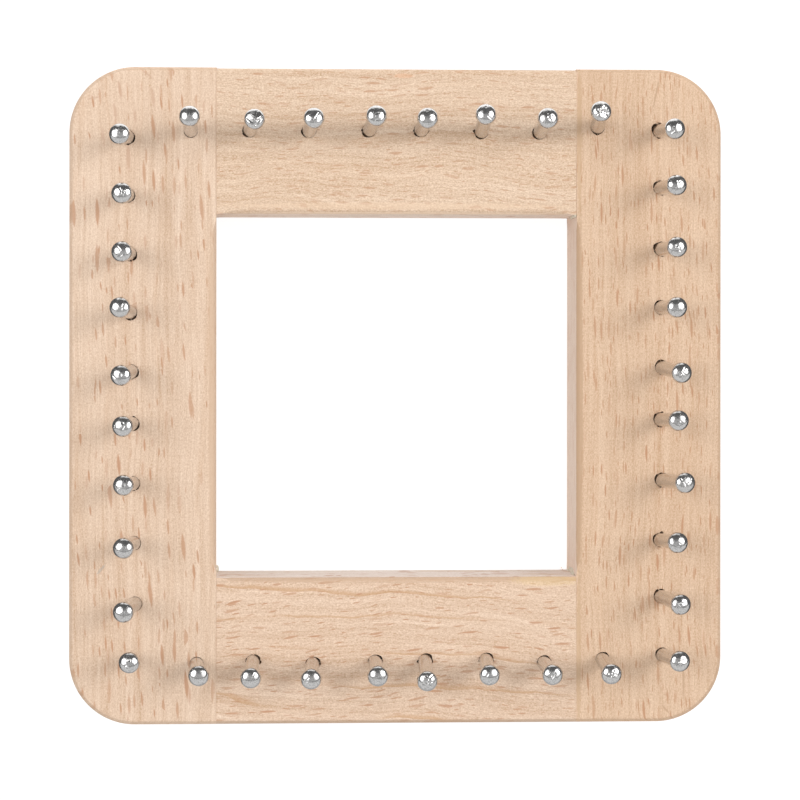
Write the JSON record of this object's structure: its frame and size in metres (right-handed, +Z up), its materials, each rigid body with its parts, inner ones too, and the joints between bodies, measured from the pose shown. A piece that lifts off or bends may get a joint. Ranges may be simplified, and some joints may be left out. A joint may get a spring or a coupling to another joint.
{
  "type": "knitting board",
  "caption": "Flat square wooden frame with a square window and rows of outward-leaning round-headed metal pins, on which yarn is looped and knitted.",
  "frame": {"origin": "middle of the board's underside, on the surface that it lies on", "axes": "+Z up, square to the board's face and towards the pins' heads; +Y towards the top rail; +X towards the right stile"},
  "size_m": [0.1494, 0.15, 0.0325],
  "materials": {
    "left_stile_beech": "sanded beech, bare or thinly oiled",
    "right_stile_beech": "sanded beech, bare or thinly oiled",
    "top_rail_beech": "sanded beech, bare or thinly oiled",
    "bottom_rail_beech": "sanded beech, bare or thinly oiled",
    "dowel_beech": "sanded beech, bare or thinly oiled",
    "steel_pins": "polished steel, marked by the hammer"
  },
  "bodies": {
    "root": {"bottom_pin_01": "steel_pins", "bottom_pin_02": "steel_pins", "bottom_pin_03": "steel_pins", "bottom_pin_04": "steel_pins", "bottom_pin_05": "steel_pins", "bottom_pin_06": "steel_pins", "bottom_pin_07": "steel_pins", "bottom_pin_08": "steel_pins", "bottom_rail": "bottom_rail_beech", "dowel_bottom_left_inner": "dowel_beech", "dowel_bottom_left_outer": "dowel_beech", "dowel_bottom_right_inner": "dowel_beech", "dowel_bottom_right_outer": "dowel_beech", "dowel_top_left_inner": "dowel_beech", "dowel_top_left_outer": "dowel_beech", "dowel_top_right_inner": "dowel_beech", "dowel_top_right_outer": "dowel_beech", "left_pin_01": "steel_pins", "left_pin_02": "steel_pins", "left_pin_03": "steel_pins", "left_pin_04": "steel_pins", "left_pin_05": "steel_pins", "left_pin_06": "steel_pins", "left_pin_07": "steel_pins", "left_pin_08": "steel_pins", "left_pin_09": "steel_pins", "left_pin_10": "steel_pins", "left_stile": "left_stile_beech", "right_pin_01": "steel_pins", "right_pin_02": "steel_pins", "right_pin_03": "steel_pins", "right_pin_04": "steel_pins", "right_pin_05": "steel_pins", "right_pin_06": "steel_pins", "right_pin_07": "steel_pins", "right_pin_08": "steel_pins", "right_pin_09": "steel_pins", "right_pin_10": "steel_pins", "right_stile": "right_stile_beech", "top_pin_01": "steel_pins", "top_pin_02": "steel_pins", "top_pin_03": "steel_pins", "top_pin_04": "steel_pins", "top_pin_05": "steel_pins", "top_pin_06": "steel_pins", "top_pin_07": "steel_pins", "top_pin_08": "steel_pins", "top_rail": "top_rail_beech"}
  },
  "joints": []
}
